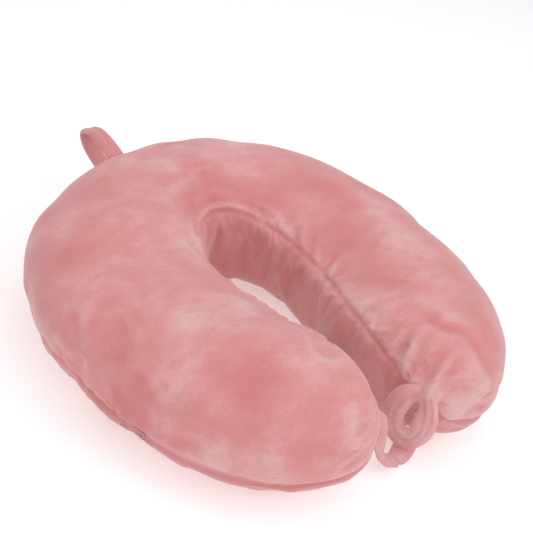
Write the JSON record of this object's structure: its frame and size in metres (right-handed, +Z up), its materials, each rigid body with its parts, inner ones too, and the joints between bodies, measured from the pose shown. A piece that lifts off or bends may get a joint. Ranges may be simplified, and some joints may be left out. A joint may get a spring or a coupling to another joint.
{
  "type": "u shaped neck pillow",
  "caption": "U-shaped travel neck pillow: moulded foam core in a liner and removable velour cover, with a hang loop, a side zip and a loop and toggle closure.",
  "frame": {"origin": "centre of the whole outline, on the surface that the pillow lies on", "axes": "+Z up, +Y towards the closed back of the U and its hang loop, -Y towards the mouth, +X towards the wearer's right arm of the U"},
  "size_m": [0.297, 0.39, 0.0949],
  "materials": {
    "velour": "short-pile velour, dusty rose, soft sheen",
    "liner_knit": "fine off-white knit",
    "foam": "moulded slow-recovery foam, matte cream",
    "zip_tape": "woven tape dyed to match the cover",
    "zip_coil": "extruded nylon coil, satin",
    "zip_metal": "die-cast, painted to match the cover"
  },
  "bodies": {
    "back": {"foam_core_back": "foam", "liner_back": "liner_knit", "cover_top_back": "velour", "cover_bottom_back": "velour"},
    "left_arm": {"foam_core_left_arm": "foam", "liner_left_arm": "liner_knit", "cover_top_left_arm": "velour", "cover_bottom_left_arm": "velour", "zip_tape_upper": "zip_tape", "zip_tape_lower": "zip_tape", "zip_coil_upper": "zip_coil", "zip_coil_lower": "zip_coil", "zip_stop_near_tip": "zip_metal", "zip_stop_near_back": "zip_metal"},
    "right_arm": {"foam_core_right_arm": "foam", "liner_right_arm": "liner_knit", "cover_top_right_arm": "velour", "cover_bottom_right_arm": "velour"},
    "zip_slider_body": {"zip_slider": "zip_metal", "zip_pull_pin": "zip_metal"},
    "zip_pull_body": {"zip_pull": "zip_metal"},
    "toggle": {"toggle_strap": "velour", "toggle_bar": "velour"},
    "closure_loop_body": {"closure_loop": "velour"},
    "hang_loop_body": {"hang_loop": "velour"}
  },
  "joints": [
    {"name": "left_arm_flex", "type": "hinge", "parent": "back", "child": "left_arm", "pos_m": [-0.10399, 0.07972, 0], "axis": [0, 0, -1], "range_deg": [0, 14], "stiffness_Nm_per_rad": 1.2},
    {"name": "right_arm_flex", "type": "hinge", "parent": "back", "child": "right_arm", "pos_m": [0.10399, 0.07972, 0], "axis": [0, 0, 1], "range_deg": [0, 14], "stiffness_Nm_per_rad": 1.2},
    {"name": "zip_slide", "type": "hinge", "parent": "left_arm", "child": "zip_slider_body", "pos_m": [0.00504, -0.06453, 0.02578], "axis": [0, 0, 1], "range_deg": [0, 41.54]},
    {"name": "zip_pull_swing", "type": "hinge", "parent": "zip_slider_body", "child": "zip_pull_body", "pos_m": [-0.1406, -0.09194, 0.02578], "axis": [0, 0, -1], "range_deg": [0, 150]},
    {"name": "toggle_swing", "type": "hinge", "parent": "left_arm", "child": "toggle", "pos_m": [-0.01928, -0.17364, 0.046], "axis": [0, 0, 1], "range_deg": [-14, 6]},
    {"name": "closure_loop_swing", "type": "hinge", "parent": "right_arm", "child": "closure_loop_body", "pos_m": [0.01491, -0.17537, 0.051], "axis": [-0.9295, -0.3689, 0], "range_deg": [0, 40]},
    {"name": "hang_loop_flop", "type": "hinge", "parent": "back", "child": "hang_loop_body", "pos_m": [0, 0.11298, 0.02774], "axis": [1, 0, 0], "range_deg": [-18, 20], "stiffness_Nm_per_rad": 0.012}
  ]
}
